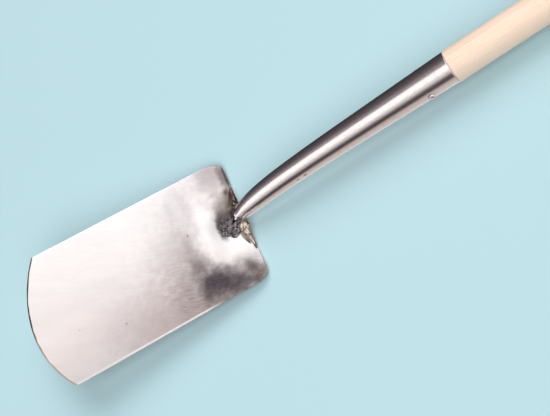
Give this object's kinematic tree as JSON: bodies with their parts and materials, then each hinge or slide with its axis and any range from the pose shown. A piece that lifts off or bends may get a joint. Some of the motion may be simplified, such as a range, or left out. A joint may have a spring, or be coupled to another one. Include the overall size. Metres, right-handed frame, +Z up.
{
  "type": "digging spade",
  "caption": "Digging spade: dished steel blade with a bowed edge, a welded swan-neck tube socket, and a wooden shaft split and bent into a yoke with a crossbar.",
  "frame": {"origin": "middle of the footprint on the ground, with the tool lying on its back", "axes": "+Y along the tool from the cutting edge to the grip, +X across the blade, +Z up, out of the blade's hollow front"},
  "size_m": [0.162, 1.0758, 0.0487],
  "materials": {
    "blade_steel": "satin, brushed lengthwise",
    "socket_steel": "polished lengthwise",
    "weld_metal": "rough, with dark heat scale",
    "ash": "sanded, clear oil",
    "fastener_steel": "plain satin",
    "mandrel_steel": "plain, dark"
  },
  "bodies": {
    "root": {"blade": "blade_steel", "socket": "socket_steel", "front_weld": "weld_metal", "skirt_weld_left": "weld_metal", "skirt_weld_right": "weld_metal", "back_weld": "weld_metal", "shaft": "ash", "crossbar": "ash", "grip_rod": "fastener_steel", "grip_washer_left": "fastener_steel", "grip_washer_right": "fastener_steel", "yoke_rivet": "fastener_steel", "yoke_washer_left": "fastener_steel", "yoke_washer_right": "fastener_steel", "rivet_left": "fastener_steel", "rivet_right": "fastener_steel", "mandrel_left": "mandrel_steel", "mandrel_right": "mandrel_steel"}
  },
  "joints": []
}
